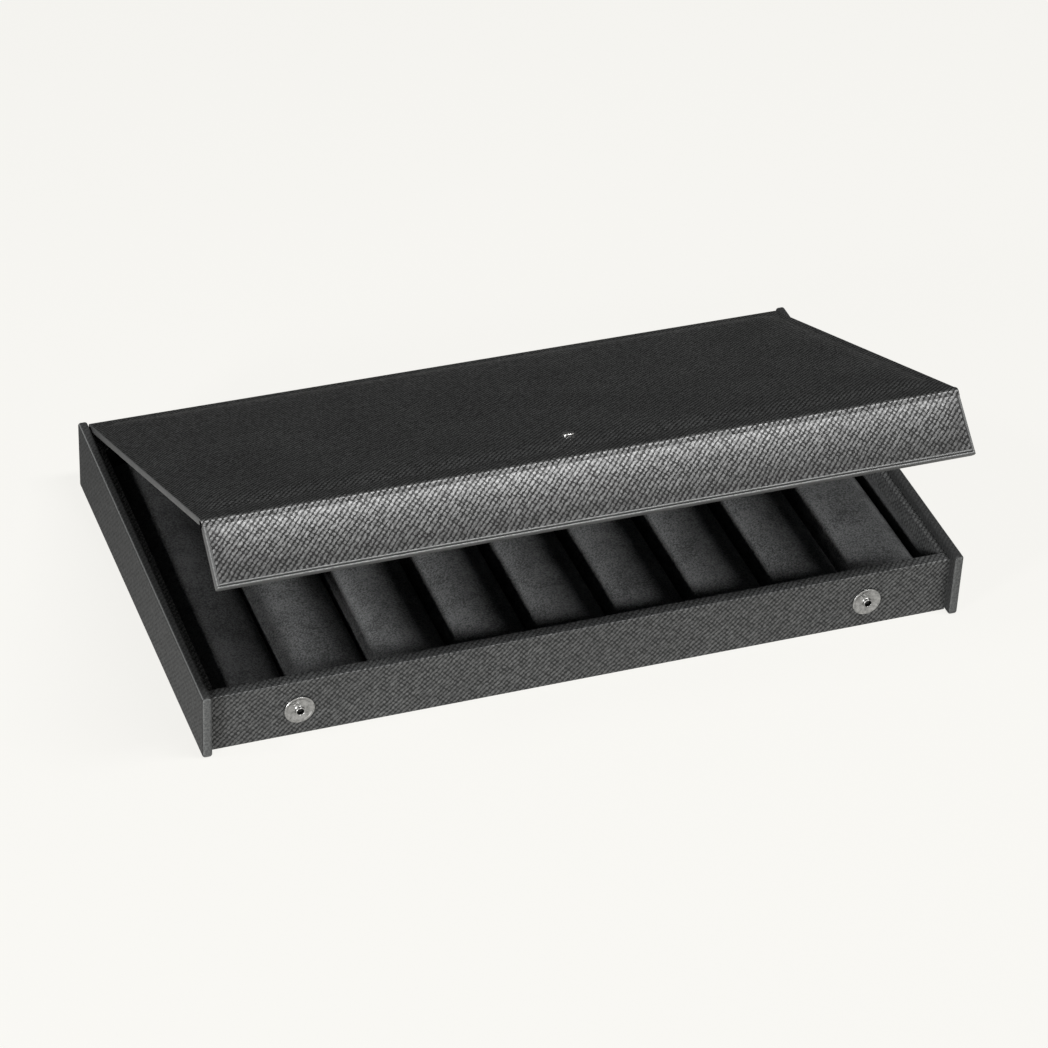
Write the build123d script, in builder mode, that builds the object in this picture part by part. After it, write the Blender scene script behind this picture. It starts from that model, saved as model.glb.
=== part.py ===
"""Pen chest: a shallow leather-covered case for ten pens, shown part open.

The case is two end panels with four low walls and a padded tray between them. One long leather
joins the back wall, the lid and the front flap. It folds along two lines, behind the lid and in
front of it, and two press studs hold the flap down on the front wall.

Millimetres. The origin is the middle of the underside, +X runs along the case to the right,
+Y to the back and +Z up.
"""

import os
from math import atan2, cos, degrees, hypot, radians, sin, tan

from build123d import *

os.makedirs("parts", exist_ok=True)

# ---------------------------------------------------------------- driving dimensions

# The case from outside
case_width = 320.0
case_depth = 190.0
end_height_front = 29.0
end_height_back = 32.0
front_setback = 4.4  # the front wall stands this far behind the end panels' front edges
back_setback = 1.0
ledge_drop = 3.8  # the walls' tops lie this far below the end panels' tops
end_edge_round = 1.2
wall_edge_round = 0.7

# What it is made of
leather = 0.8
suede = 0.8
end_board = 2.4
wall_board = 4.0
ledge_board = 2.2
base_board_thickness = 2.4
base_cover_thickness = 0.8
leather_turn_in = 10.0  # leather turned over onto the end boards' inner faces
leather_margin = 8.0  # leather turned down inside the walls, above the lining

# The tray
ridge_count = 9  # side by side, they fill the width of the tray
ridge_height = 13.2
tray_card_thickness = 1.2
velour = 0.7
ridge_end_gap = 0.3

# The lid and the flap
lid_board_thickness = 1.2
lid_side_gap = 0.5
closing_gap = 0.3  # between the closed lid and the walls' tops
flap_gap = 0.9  # between the closed flap and the front wall, for the studs
flap_length = 27.2  # fold line to the flap's edge
fold_strip = 2.6  # bare leather each side of a fold line, between the boards
fold_radius = 1.2  # inside the bent leather
lid_turn_in = 7.0
lid_open_angle = 22.3  # the lid as it stands, above level
flap_bend = 61.3  # the flap as it hangs, down from the lid's own line

# The lid's padding: a shoulder rises from its foot to a slight crown
pad_margin_side = 4.0
pad_margin_back = 5.0
pad_margin_front = 9.0
pad_shoulder = 16.0
pad_shoulder_height = 1.8
pad_crown_height = 2.4

# Press studs
stud_spacing = 240.0
stud_height = 12.0
stud_radius = 6.2
stud_rim = 0.6
rim_width = 0.5
stud_dish = 0.35
knob_radius = 1.9
knob_waist = 1.5
knob_height = 2.1
knob_dimple = 0.5
rivet_radius = 1.5
rivet_head_radius = 3.4
rivet_head = 0.6
socket_radius = 5.6
socket_cup_radius = 3.6
socket_clearance = 0.35  # round the knob and beyond its end
hole_clearance = 0.05

# Plain round button on the lid
button_radius = 2.9
button_dome = 0.7
button_disc = 0.5
button_from_fold = 26.0
button_pin_radius = 0.9

# ---------------------------------------------------------------- derived places

front_edge = -case_depth / 2
back_edge = case_depth / 2
end_thickness = end_board + 2 * leather
between_ends = case_width / 2 - end_thickness  # half of the width between the end panels
wall_thickness = wall_board + 2 * leather
front_face = front_edge + front_setback
back_face = back_edge - back_setback
tray_front = front_face + wall_thickness
tray_back = back_face - wall_thickness
tray_half = between_ends - ledge_board - leather
base_top = base_cover_thickness + base_board_thickness
card_top = base_top + tray_card_thickness
rise = (end_height_back - end_height_front) / case_depth
slope = degrees(atan2(end_height_back - end_height_front, case_depth))
above_all = 2 * end_height_back

walls_top = Plane(
    origin=(0, front_edge, end_height_front - ledge_drop),
    x_dir=(1, 0, 0),
    z_dir=(0, -sin(radians(slope)), cos(radians(slope))),
)
boards_top = walls_top.offset(-leather)
lining_top = walls_top.offset(-leather_margin)

leaf_thickness = suede + lid_board_thickness + leather
fold_depth = leaf_thickness - leather / 2  # fold lines lie in the middle of the leather
leaf_half = between_ends - lid_side_gap
leaf_inside = leaf_half - leather
lining_half = leaf_half - lid_turn_in


def height_on(plane, y):
    """Height of a plane that slopes only front to back, at the depth y."""
    return plane.origin.Z + (y - plane.origin.Y) * rise


fold_lines = walls_top.offset(closing_gap + fold_depth)  # both fold lines lie here when closed
hinge_y = back_face - leather / 2
hinge_z = height_on(fold_lines, hinge_y)
closed_fold_y = front_face - flap_gap - fold_depth
closed_fold_z = height_on(fold_lines, closed_fold_y)
lid_length = hypot(hinge_y - closed_fold_y, hinge_z - closed_fold_z)
fold_y = hinge_y - lid_length * cos(radians(lid_open_angle))
fold_z = hinge_z + lid_length * sin(radians(lid_open_angle))
spine_angle = 90.0
flap_angle = lid_open_angle - flap_bend


def leaf_plane(angle, y, z):
    """Inner face of a leaf that leaves the fold line at y, z and rises forwards by the angle."""
    outwards = Vector(0, sin(radians(angle)), cos(radians(angle)))
    return Plane(origin=Vector(0, y, z) - outwards * fold_depth, x_dir=(1, 0, 0), z_dir=outwards)


lid_plane = leaf_plane(lid_open_angle, hinge_y, hinge_z)
flap_plane = leaf_plane(flap_angle, fold_y, fold_z)
lid_back = -fold_strip
lid_front = -(lid_length - fold_strip)
flap_top = -fold_strip
socket_y = stud_height - closed_fold_z  # along the flap, from the fold line
stud_places = (-stud_spacing / 2, stud_spacing / 2)


def write(part, name):
    """Labels a finished piece and writes it to its own file."""
    part.label = name
    export_step(part, f"parts/{name}.step")


def block(plane, x_range, y_range, thickness, mode=Mode.ADD):
    """A flat block on a plane, inside the part being built."""
    with BuildSketch(plane) as outline:
        with Locations(((x_range[0] + x_range[1]) / 2, (y_range[0] + y_range[1]) / 2)):
            Rectangle(x_range[1] - x_range[0], y_range[1] - y_range[0])
    extrude(outline.sketch, amount=thickness, mode=mode)


def bar(points, half_length, rounded=(), radius=0.0):
    """A bar along X with the given outline in Y and Z, some of its corners rounded."""
    with BuildSketch(Plane.YZ) as outline:
        with BuildLine():
            Polyline(*points, close=True)
        make_face()
        if rounded:
            corners = [v for v in vertices() if any(near(v, p) for p in rounded)]
            fillet(corners, radius)
    extrude(outline.sketch, amount=half_length, both=True)


def near(vertex, point):
    """True for the sketch corner that stands at a point of the sketch."""
    return hypot(vertex.X - point[0], vertex.Y - point[1]) < leather / 10


# ---------------------------------------------------------------- end panels


def end_outline(plane, inset=0.0):
    """The side view of an end panel on a plane, drawn in by an inset."""
    with BuildSketch(plane) as outline:
        with BuildLine():
            Polyline(
                (front_edge, 0),
                (back_edge, 0),
                (back_edge, end_height_back),
                (front_edge, end_height_front),
                close=True,
            )
        make_face()
        if inset:
            offset(amount=-inset, kind=Kind.INTERSECTION, mode=Mode.REPLACE)
    return outline.sketch


def end_leather(side):
    """Leather wrapped round an end board, with a window where the ledge board is glued."""
    outer = Plane.YZ.offset(side * case_width / 2)
    under_leather = Plane.YZ.offset(side * (case_width / 2 - leather))
    with BuildPart() as wrap:
        extrude(end_outline(outer), amount=-side * end_thickness)
        fillet(wrap.edges(), end_edge_round)
        board_space = end_outline(under_leather, leather)
        extrude(board_space, amount=-side * end_board, mode=Mode.SUBTRACT)
        window = end_outline(under_leather, leather_turn_in)
        extrude(window, amount=-side * end_thickness, mode=Mode.SUBTRACT)
    return wrap.part


def end_core(side):
    """The board inside an end panel."""
    under_leather = Plane.YZ.offset(side * (case_width / 2 - leather))
    with BuildPart() as core:
        extrude(end_outline(under_leather, leather), amount=-side * end_board)
    return core.part


for side_name, side in (("left", -1), ("right", 1)):
    write(end_leather(side), f"{side_name}_end_leather")
    write(end_core(side), f"{side_name}_end_board")

# ---------------------------------------------------------------- base

front_board_in = front_face + leather + wall_board
back_board_in = back_face - leather - wall_board

with BuildPart() as base_cover:
    block(
        Plane.XY,
        (-between_ends, between_ends),
        (front_face + leather, back_face - leather),
        base_cover_thickness,
    )
write(base_cover.part, "base_cover")

with BuildPart() as base_board:
    block(
        Plane.XY.offset(base_cover_thickness),
        (-between_ends, between_ends),
        (front_board_in, back_board_in),
        base_board_thickness,
    )
write(base_board.part, "base_board")

# ---------------------------------------------------------------- front wall


def wall_z(y):
    """Height of the walls' finished tops at the depth y."""
    return height_on(walls_top, y)


def board_z(y):
    """Height of the wall boards' tops at the depth y."""
    return height_on(boards_top, y)


front_under = front_face + leather


def stud_axis_plane(x, y):
    """Plane square to a stud's axis at the depth y, facing back."""
    return Plane((x, y, stud_height), x_dir=(1, 0, 0), z_dir=(0, 1, 0))


def stud_bore(radius, start, length):
    """Round holes from front to back through whatever is being built, one for each stud."""
    for x in stud_places:
        with BuildSketch(stud_axis_plane(x, start)) as hole:
            Circle(radius)
        extrude(hole.sketch, amount=length, mode=Mode.SUBTRACT)


with BuildPart() as front_wall_board:
    bar(
        [
            (front_under, base_cover_thickness),
            (front_under, board_z(front_under)),
            (front_board_in, board_z(front_board_in)),
            (front_board_in, base_cover_thickness),
        ],
        between_ends,
    )
    stud_bore(rivet_radius + hole_clearance, front_under, wall_board)
    stud_bore(rivet_head_radius + hole_clearance, front_board_in - rivet_head, rivet_head)
write(front_wall_board.part, "front_wall_board")

with BuildPart() as front_wall_leather:
    margin_foot = wall_z(tray_front) - leather_margin
    bar(
        [
            (front_face, 0),
            (front_face, wall_z(front_face)),
            (tray_front, wall_z(tray_front)),
            (tray_front, margin_foot),
            (front_board_in, margin_foot),
            (front_board_in, board_z(front_board_in)),
            (front_under, board_z(front_under)),
            (front_under, 0),
        ],
        between_ends,
        [(front_face, wall_z(front_face)), (tray_front, wall_z(tray_front))],
        wall_edge_round,
    )
    stud_bore(rivet_radius + hole_clearance, front_face, leather)
write(front_wall_leather.part, "front_wall_leather")

# ---------------------------------------------------------------- back wall

back_under = back_face - leather
spine_top = hinge_z - fold_strip

with BuildPart() as back_wall_board:
    bar(
        [
            (back_under, base_cover_thickness),
            (back_under, board_z(back_under)),
            (back_board_in, board_z(back_board_in)),
            (back_board_in, base_cover_thickness),
        ],
        between_ends,
    )
write(back_wall_board.part, "back_wall_board")

with BuildPart() as back_wall_leather:
    bar(
        [(back_face, 0), (back_face, spine_top), (back_under, spine_top), (back_under, 0)],
        between_ends,
    )
write(back_wall_leather.part, "back_wall_leather")

with BuildPart() as back_wall_capping:
    margin_foot = wall_z(tray_back) - leather_margin
    bar(
        [
            (back_under, wall_z(back_under)),
            (tray_back, wall_z(tray_back)),
            (tray_back, margin_foot),
            (back_board_in, margin_foot),
            (back_board_in, board_z(back_board_in)),
            (back_under, board_z(back_under)),
        ],
        between_ends,
        [(tray_back, wall_z(tray_back))],
        wall_edge_round,
    )
write(back_wall_capping.part, "back_wall_capping")

# ---------------------------------------------------------------- side ledges and linings

ledge_face = between_ends - ledge_board


def side_strip(side, inner, outer, y_range, foot, top):
    """An upright strip beside an end panel, cut off by a sloping plane at its top."""
    x_range = sorted((side * inner, side * outer))
    with BuildPart() as strip:
        block(Plane.XY.offset(foot), x_range, y_range, above_all)
        split(bisect_by=top, keep=Keep.BOTTOM)
    return strip.part


def ledge_leather(side):
    """Leather over the top of a side ledge and down its inner face."""
    x_range = sorted((side * tray_half, side * between_ends))
    core_range = sorted((side * ledge_face, side * between_ends))
    with BuildPart() as turned:
        block(Plane.XY, x_range, (tray_front, tray_back), above_all)
        split(bisect_by=walls_top, keep=Keep.BOTTOM)
        split(bisect_by=lining_top, keep=Keep.TOP)
        with BuildPart(mode=Mode.PRIVATE) as core:
            block(Plane.XY, core_range, (tray_front, tray_back), above_all)
            split(bisect_by=boards_top, keep=Keep.BOTTOM)
        add(core.part, mode=Mode.SUBTRACT)
    return turned.part


for side_name, side in (("left", -1), ("right", 1)):
    tray_y = (tray_front, tray_back)
    board = side_strip(side, ledge_face, between_ends, tray_y, base_top, boards_top)
    write(board, f"{side_name}_ledge_board")
    write(ledge_leather(side), f"{side_name}_ledge_leather")
    lining = side_strip(side, tray_half, ledge_face, tray_y, card_top, lining_top)
    write(lining, f"{side_name}_lining")

with BuildPart() as front_lining:
    bar(
        [
            (front_board_in, card_top),
            (tray_front, card_top),
            (tray_front, wall_z(tray_front) - leather_margin),
            (front_board_in, wall_z(tray_front) - leather_margin),
        ],
        between_ends,
    )
write(front_lining.part, "front_lining")

with BuildPart() as back_lining:
    bar(
        [
            (back_board_in, card_top),
            (tray_back, card_top),
            (tray_back, wall_z(tray_back) - leather_margin),
            (back_board_in, wall_z(tray_back) - leather_margin),
        ],
        between_ends,
    )
write(back_lining.part, "back_lining")

# ---------------------------------------------------------------- padded tray

with BuildPart() as tray_card:
    block(
        Plane.XY.offset(base_top),
        (-ledge_face, ledge_face),
        (front_board_in, back_board_in),
        tray_card_thickness,
    )
write(tray_card.part, "tray_card")

ridge_pitch = 2 * tray_half / ridge_count
ridge_half_width = ridge_pitch / 2 - velour
ridge_centres = [(i - (ridge_count - 1) / 2) * ridge_pitch for i in range(ridge_count)]
card_front = Plane((0, tray_front + ridge_end_gap, card_top), x_dir=(1, 0, 0), z_dir=(0, -1, 0))
ridge_length = tray_back - tray_front - 2 * ridge_end_gap


def above_card(half_width):
    """Keeps what lies above the card and between the side linings of a sketch seen from the front."""
    with Locations((0, above_all / 2)):
        Rectangle(2 * half_width, above_all, mode=Mode.INTERSECT)


for number, centre in enumerate(ridge_centres, start=1):
    with BuildPart() as ridge:
        with BuildSketch(card_front):
            with Locations((centre, 0)):
                Ellipse(ridge_half_width, ridge_height)
            above_card(tray_half)
        extrude(amount=-ridge_length)
    write(ridge.part, f"ridge_foam_{number}")

with BuildPart() as tray_velour:
    with BuildSketch(card_front):
        for centre in ridge_centres:
            with Locations((centre, 0)):
                Ellipse(ridge_half_width + velour, ridge_height + velour)
        Rectangle(2 * tray_half, 2 * velour)
        above_card(tray_half)
        for centre in ridge_centres:
            with Locations((centre, 0)):
                Ellipse(ridge_half_width, ridge_height, mode=Mode.SUBTRACT)
    extrude(amount=-ridge_length)
write(tray_velour.part, "tray_velour")

# ---------------------------------------------------------------- lid


board_top = lid_plane.offset(suede + lid_board_thickness)
pad_back = lid_back - pad_margin_back
pad_front = lid_front + pad_margin_front


def pad_profile(plane, half_width, grow):
    """Crowned section of the lid's padding on an upright plane, grown outwards by a skin."""
    foot = half_width + grow
    shoulder = half_width - pad_shoulder
    top = pad_shoulder_height + grow
    with BuildSketch(plane) as outline:
        with BuildLine():
            crown = ThreePointArc((-shoulder, top), (0, pad_crown_height + grow), (shoulder, top))
            TangentArc((shoulder, top), (foot, 0), tangent=crown % 1)
            TangentArc((-shoulder, top), (-foot, 0), tangent=-(crown % 0))
            Line((-foot, 0), (foot, 0))
        make_face()
    return outline.sketch


def pad(grow):
    """The crowned padding, where its sections along and across the lid meet, laid on the board."""
    middle = (0, (pad_back + pad_front) / 2, 0)
    half_length = (pad_back - pad_front) / 2
    half_width = leaf_inside - pad_margin_side
    along = Plane(middle, x_dir=(0, 1, 0), z_dir=(1, 0, 0))
    across = Plane(middle, x_dir=(-1, 0, 0), z_dir=(0, 1, 0))
    with BuildPart() as shape:
        extrude(pad_profile(along, half_length, grow), amount=half_width + grow, both=True)
        section = pad_profile(across, half_width, grow)
        extrude(section, amount=half_length + grow, both=True, mode=Mode.INTERSECT)
    return board_top.from_local_coords(shape.part)


button_plane_height = suede + lid_board_thickness + pad_shoulder_height + leather
button_y = -(lid_length - button_from_fold)


def button_recess(radius, plane_height, depth):
    """A round hole at the button's place, from a height in the lid downwards."""
    with BuildSketch(lid_plane.offset(plane_height)) as hole:
        with Locations((0, button_y)):
            Circle(radius)
    extrude(hole.sketch, amount=-depth, mode=Mode.SUBTRACT)


with BuildPart() as lid_board:
    block(
        lid_plane.offset(suede),
        (-leaf_inside, leaf_inside),
        (lid_front, lid_back),
        lid_board_thickness,
    )
write(lid_board.part, "lid_board")

with BuildPart() as lid_lining:
    block(
        lid_plane,
        (-lining_half, lining_half),
        (lid_front, lid_back),
        suede,
    )
write(lid_lining.part, "lid_lining")

with BuildPart() as lid_foam:
    add(pad(0))
    button_recess(button_pin_radius + hole_clearance, button_plane_height, above_all)
write(lid_foam.part, "lid_foam")

with BuildPart() as lid_leather:
    block(lid_plane, (-leaf_half, leaf_half), (lid_front, lid_back), leaf_thickness)
    add(pad(leather))
    block(
        lid_plane,
        (-lining_half, lining_half),
        (lid_front, lid_back),
        suede,
        Mode.SUBTRACT,
    )
    block(
        lid_plane.offset(suede),
        (-leaf_inside, leaf_inside),
        (lid_front, lid_back),
        lid_board_thickness,
        Mode.SUBTRACT,
    )
    add(pad(0), mode=Mode.SUBTRACT)
    button_recess(button_radius + hole_clearance, button_plane_height + button_disc, button_disc)
    button_recess(button_pin_radius + hole_clearance, button_plane_height, above_all)
write(lid_leather.part, "lid_leather")

button_seat = lid_plane.offset(button_plane_height)

with BuildPart() as lid_button:
    with BuildSketch(button_seat):
        with Locations((0, button_y)):
            Circle(button_radius)
    extrude(amount=button_disc + button_dome)
    outwards = Axis(button_seat.origin, button_seat.z_dir)
    chamfer(lid_button.faces().sort_by(outwards)[-1].edges(), button_dome)
    with BuildSketch(button_seat):
        with Locations((0, button_y)):
            Circle(button_pin_radius)
    extrude(amount=-(button_plane_height - suede - lid_board_thickness))
write(lid_button.part, "lid_button")

# ---------------------------------------------------------------- flap

flap_tip = -flap_length


def flap_round(radius, start, depth, mode=Mode.ADD):
    """Round bosses or holes at the flap's two sockets, from a depth behind its inner face."""
    with BuildSketch(flap_plane.offset(start)) as rounds:
        with Locations(*[(x, socket_y) for x in stud_places]):
            Circle(radius)
    extrude(rounds.sketch, amount=depth, mode=mode)


socket_depth = knob_height - flap_gap + socket_clearance

with BuildPart() as flap_board:
    block(
        flap_plane.offset(suede),
        (-leaf_inside, leaf_inside),
        (flap_tip + leather, flap_top),
        lid_board_thickness,
    )
    flap_round(socket_cup_radius + hole_clearance, suede, lid_board_thickness, Mode.SUBTRACT)
write(flap_board.part, "flap_board")

lining_tip = flap_tip + leather + lid_board_thickness

with BuildPart() as flap_lining:
    block(flap_plane, (-lining_half, lining_half), (lining_tip, flap_top), suede)
    flap_round(socket_radius + hole_clearance, 0, suede, Mode.SUBTRACT)
write(flap_lining.part, "flap_lining")

with BuildPart() as flap_leather:
    block(flap_plane, (-leaf_half, leaf_half), (flap_tip, flap_top), leaf_thickness)
    along_flap = Axis(flap_plane.origin, flap_plane.y_dir)
    fillet(flap_leather.edges().filter_by(Axis.X).group_by(along_flap)[0], wall_edge_round)
    block(flap_plane, (-lining_half, lining_half), (lining_tip, flap_top), suede, Mode.SUBTRACT)
    block(
        flap_plane.offset(suede),
        (-leaf_inside, leaf_inside),
        (flap_tip + leather, flap_top),
        lid_board_thickness,
        Mode.SUBTRACT,
    )
write(flap_leather.part, "flap_leather")

with BuildPart() as snap_sockets:
    flap_round(socket_radius, 0, suede)
    flap_round(socket_cup_radius, suede, lid_board_thickness)
    flap_round(knob_radius + socket_clearance, 0, socket_depth, Mode.SUBTRACT)
write(snap_sockets.part, "snap_sockets")

# ---------------------------------------------------------------- press studs on the front wall


def stud_plane(x):
    """Level plane through a stud's axis: its x is the radius and its -y points outwards."""
    return Plane((x, front_face, stud_height), x_dir=(1, 0, 0), z_dir=(0, 0, 1))


with BuildPart() as snap_studs:
    for x in stud_places:
        with BuildSketch(stud_plane(x)):
            with BuildLine():
                Polyline(
                    (0, 0),
                    (stud_radius, 0),
                    (stud_radius, -stud_dish),
                    (stud_radius - rim_width / 2, -stud_rim),
                    (stud_radius - rim_width, -stud_rim),
                    (stud_radius - 2 * rim_width, -stud_dish),
                    (knob_radius + rim_width, -stud_dish),
                    (knob_waist, -stud_rim),
                    (knob_radius, -(knob_height + stud_rim) / 2),
                    (knob_waist, -knob_height),
                    (knob_dimple, -knob_height),
                    (0, -(knob_height - knob_dimple)),
                    close=True,
                )
            make_face()
        revolve(axis=Axis((x, front_face, stud_height), (0, 1, 0)))
write(snap_studs.part, "snap_studs")

with BuildPart() as stud_rivets:
    for x in stud_places:
        with BuildSketch(stud_axis_plane(x, front_face)):
            Circle(rivet_radius)
        extrude(amount=leather + wall_board)
        with BuildSketch(stud_axis_plane(x, front_board_in - rivet_head)):
            Circle(rivet_head_radius)
        extrude(amount=rivet_head)
write(stud_rivets.part, "stud_rivets")

# ---------------------------------------------------------------- leather folds


def fold_strip_part(rear_angle, front_angle, y, z, half_length, outer, thickness, radius):
    """A flexible strip bent round a fold line, from one leaf's board to the next one's.

    outer is the height of its outer face in the leaves, and radius lies inside its bend.
    """
    rear = leaf_plane(rear_angle, y, z)
    front = leaf_plane(front_angle, y, z)
    shift = tan(radians((rear_angle - front_angle) / 2))

    def side(level, bend_radius):
        corner = -(level - fold_depth) * shift
        places = (
            rear.from_local_coords(Vector(0, fold_strip, level)),
            rear.from_local_coords(Vector(0, corner, level)),
            front.from_local_coords(Vector(0, -fold_strip, level)),
        )
        points = [(p.Y, p.Z) for p in places]
        FilletPolyline(*points, radius=bend_radius)
        return points[0], points[-1]

    with BuildPart() as strip:
        with BuildSketch(Plane.YZ):
            with BuildLine():
                outer_ends = side(outer, radius + thickness)
                inner_ends = side(outer - thickness, radius)
                Line(outer_ends[0], inner_ends[0])
                Line(outer_ends[1], inner_ends[1])
            make_face()
        extrude(amount=half_length, both=True)
    return strip.part


inside_radius = fold_radius - suede
under = leaf_thickness - leather
hinge = (spine_angle, lid_open_angle, hinge_y, hinge_z)
fold = (lid_open_angle, flap_angle, fold_y, fold_z)
folds = (
    ("back_hinge_leather", hinge, leaf_half, leaf_thickness, leather, fold_radius),
    ("back_hinge_lining", hinge, leaf_inside, under, suede, inside_radius),
    ("front_fold_leather", fold, leaf_half, leaf_thickness, leather, fold_radius),
    ("front_fold_lining", fold, leaf_inside, under, suede, inside_radius),
)
for name, line, half_length, outer, thickness, radius in folds:
    write(fold_strip_part(*line, half_length, outer, thickness, radius), name)

print("hinge line", round(hinge_y, 4), round(hinge_z, 4))
print("fold line", round(fold_y, 4), round(fold_z, 4), "closed", round(closed_fold_z, 4))
print("lid length", round(lid_length, 3), "closed slope", round(slope, 4))
print("lid closes by", round(lid_open_angle + slope, 4))
print("flap closes by", round(90 - slope - flap_bend, 4))
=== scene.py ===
# %% [markdown]
# # A pen chest in black printed leather
# The chest is a shallow case of two end panels and low walls, a padded tray for pens, a thin lid
# and a flap that is held by two press studs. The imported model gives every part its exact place.
# This file dresses it: it keeps the rigid parts, replaces the soft ones by fuller shapes, and
# gives everything a finish. All lengths of new pieces are written in millimetres.

from math import cos, hypot, pi, radians, sin, sqrt, tan

import bmesh
import bpy
from mathutils import Matrix, Vector, noise


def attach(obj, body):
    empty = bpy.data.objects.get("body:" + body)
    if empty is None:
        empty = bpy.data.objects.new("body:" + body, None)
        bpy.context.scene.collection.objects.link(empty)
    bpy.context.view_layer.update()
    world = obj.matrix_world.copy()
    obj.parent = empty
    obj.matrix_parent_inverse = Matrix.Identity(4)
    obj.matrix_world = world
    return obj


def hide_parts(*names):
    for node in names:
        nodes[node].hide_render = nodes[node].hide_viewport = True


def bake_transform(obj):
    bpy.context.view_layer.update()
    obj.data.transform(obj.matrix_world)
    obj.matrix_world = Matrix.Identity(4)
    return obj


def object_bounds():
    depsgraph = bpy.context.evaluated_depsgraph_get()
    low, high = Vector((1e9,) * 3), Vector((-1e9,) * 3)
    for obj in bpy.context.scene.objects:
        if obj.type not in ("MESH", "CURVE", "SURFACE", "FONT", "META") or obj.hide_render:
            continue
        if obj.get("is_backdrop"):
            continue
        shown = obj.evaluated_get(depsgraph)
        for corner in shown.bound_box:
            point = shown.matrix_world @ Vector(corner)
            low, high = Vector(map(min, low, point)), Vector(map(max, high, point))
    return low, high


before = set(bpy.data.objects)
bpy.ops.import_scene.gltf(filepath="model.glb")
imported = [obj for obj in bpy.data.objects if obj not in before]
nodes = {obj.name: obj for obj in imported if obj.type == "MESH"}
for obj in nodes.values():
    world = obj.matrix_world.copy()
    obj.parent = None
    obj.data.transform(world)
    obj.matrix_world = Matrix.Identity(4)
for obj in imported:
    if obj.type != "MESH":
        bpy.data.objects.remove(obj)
cad_low, cad_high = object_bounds()
MM = 0.001
print("parts", len(nodes), "size mm", [round(v / MM, 1) for v in cad_high - cad_low])

# %% [markdown]
# ## The camera
# A long lens looks down on the chest from the front and the left. Its place, turn and focal
# length were worked out from nineteen corners of the chest, so the picture lines up without
# any fitting by eye.

# %% Camera
camera_data = bpy.data.cameras.new("photo_camera")
camera_data.sensor_width = 36.0
camera_data.lens = 132.97
camera_data.clip_start = 0.05
camera_data.clip_end = 30.0
camera = bpy.data.objects.new("photo_camera", camera_data)
camera.location = Vector((-466.83, -1209.65, 954.06)) * MM
camera.rotation_euler = [radians(a) for a in (53.987, -2.231, -19.686)]
bpy.context.scene.collection.objects.link(camera)
bpy.context.scene.camera = camera
bpy.context.scene.view_settings.view_transform = "Standard"
print("camera stands", round(camera.location.length, 2), "m from the chest")

# %% [markdown]
# ## Helpers for nodes
# A finish is a small network of nodes. One helper adds a node, sets its sockets and wires it, so
# that each finish reads as a short recipe. A shader group is a recipe that several finishes share.


# %% Node helpers
def put(tree, kind, sockets=None, **settings):
    """Adds a node, with values or other nodes' outputs for its sockets by name or number."""
    node = tree.nodes.new(kind)
    for key, value in settings.items():
        setattr(node, key, value)
    for key, value in (sockets or {}).items():
        if isinstance(value, bpy.types.NodeSocket):
            tree.links.new(value, node.inputs[key])
        else:
            node.inputs[key].default_value = value
    return node


def calc(tree, operation, *values):
    """A Math node's answer."""
    return put(tree, "ShaderNodeMath", dict(enumerate(values)), operation=operation).outputs[0]


def span(tree, value, low, high, to_low=0.0, to_high=1.0):
    """A value moved smoothly from one range to another."""
    sockets = {0: value, 1: low, 2: high, 3: to_low, 4: to_high}
    return put(tree, "ShaderNodeMapRange", sockets, interpolation_type="SMOOTHSTEP").outputs[0]


def blend_colour(tree, share, first, second):
    """Two colours mixed by a share."""
    sockets = {0: share, 6: first, 7: second}
    return put(tree, "ShaderNodeMix", sockets, data_type="RGBA").outputs[2]


def tint(grey, red, green, blue):
    """A grey made lighter or darker by a share for each channel."""
    return (grey * red, grey * green, grey * blue, 1)


def object_place(tree):
    """The place on a piece, in the piece's own metres."""
    return put(tree, "ShaderNodeTexCoord").outputs["Object"]


def parts_of(tree, vector):
    """The x, y and z of a place or a direction."""
    return put(tree, "ShaderNodeSeparateXYZ", {0: vector}).outputs


def speckle(tree, place, scale, detail=2.0, roughness=0.5):
    """Soft random values from 0 to 1 at a place, with a number of spots to the metre."""
    sockets = {"Vector": place, "Scale": scale, "Detail": detail, "Roughness": roughness}
    return put(tree, "ShaderNodeTexNoise", sockets).outputs["Fac"]


def shared_group(name, inputs, outputs):
    """A new shader group with its sockets, and the nodes that stand for them."""
    tree = bpy.data.node_groups.new(name, "ShaderNodeTree")
    for label, kind, value in inputs:
        socket = tree.interface.new_socket(label, in_out="INPUT", socket_type=kind)
        if value is not None:
            socket.default_value = value
    for label, kind in outputs:
        tree.interface.new_socket(label, in_out="OUTPUT", socket_type=kind)
    return tree, tree.nodes.new("NodeGroupInput"), tree.nodes.new("NodeGroupOutput")


def finish_material(name):
    """A new material with an empty recipe, its shader and its output."""
    material = bpy.data.materials.new(name)
    material.use_nodes = True
    tree = material.node_tree
    tree.nodes.clear()
    shader = tree.nodes.new("ShaderNodeBsdfPrincipled")
    output = tree.nodes.new("ShaderNodeOutputMaterial")
    tree.links.new(shader.outputs[0], output.inputs[0])
    return material, tree, shader


def roughen(tree, shader, strength, depth, height):
    """Tilts the shading by a height pattern that is some millimetres deep."""
    sockets = {"Strength": strength, "Distance": depth * MM, "Height": height}
    bump = put(tree, "ShaderNodeBump", sockets)
    tree.links.new(bump.outputs[0], shader.inputs["Normal"])


print("node helpers ready")

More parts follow.
